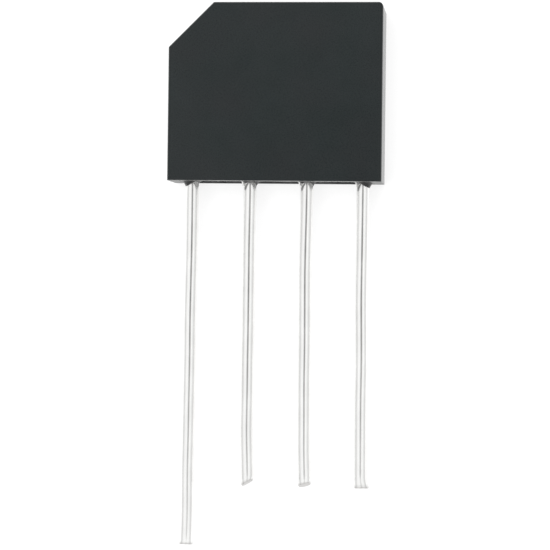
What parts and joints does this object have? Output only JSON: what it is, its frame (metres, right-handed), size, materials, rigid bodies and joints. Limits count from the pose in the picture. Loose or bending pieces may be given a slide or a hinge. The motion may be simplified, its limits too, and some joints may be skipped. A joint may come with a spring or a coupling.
{
  "type": "bridge rectifier",
  "caption": "In-line bridge rectifier: a flat black case with one cut corner, filled with epoxy, and a row of straight tinned wire leads, the positive one longest.",
  "frame": {"origin": "centre of the case's back face, which the part lies on", "axes": "+X along the row of leads, away from the positive lead; +Y along the leads, towards the closed end of the case; +Z out of the front face"},
  "size_m": [0.019, 0.0483, 0.006],
  "materials": {
    "case_plastic": "matt moulded black plastic with softly rounded edges",
    "epoxy": "glossy black potting epoxy",
    "tinned_wire": "bright tinned copper wire with faint drawing lines",
    "silicon": "dark polished silicon",
    "solder": "satin solder"
  },
  "bodies": {
    "root": {"case": "case_plastic", "epoxy_fill": "epoxy", "plus_lead": "tinned_wire", "ac_lead_1": "tinned_wire", "ac_lead_2": "tinned_wire", "minus_lead": "tinned_wire", "diode_chip_1": "silicon", "diode_chip_2": "silicon", "diode_chip_3": "silicon", "diode_chip_4": "silicon", "cathode_solder_1": "solder", "cathode_solder_2": "solder", "cathode_solder_3": "solder", "cathode_solder_4": "solder", "anode_solder_1": "solder", "anode_solder_2": "solder", "anode_solder_3": "solder", "anode_solder_4": "solder"}
  },
  "joints": []
}
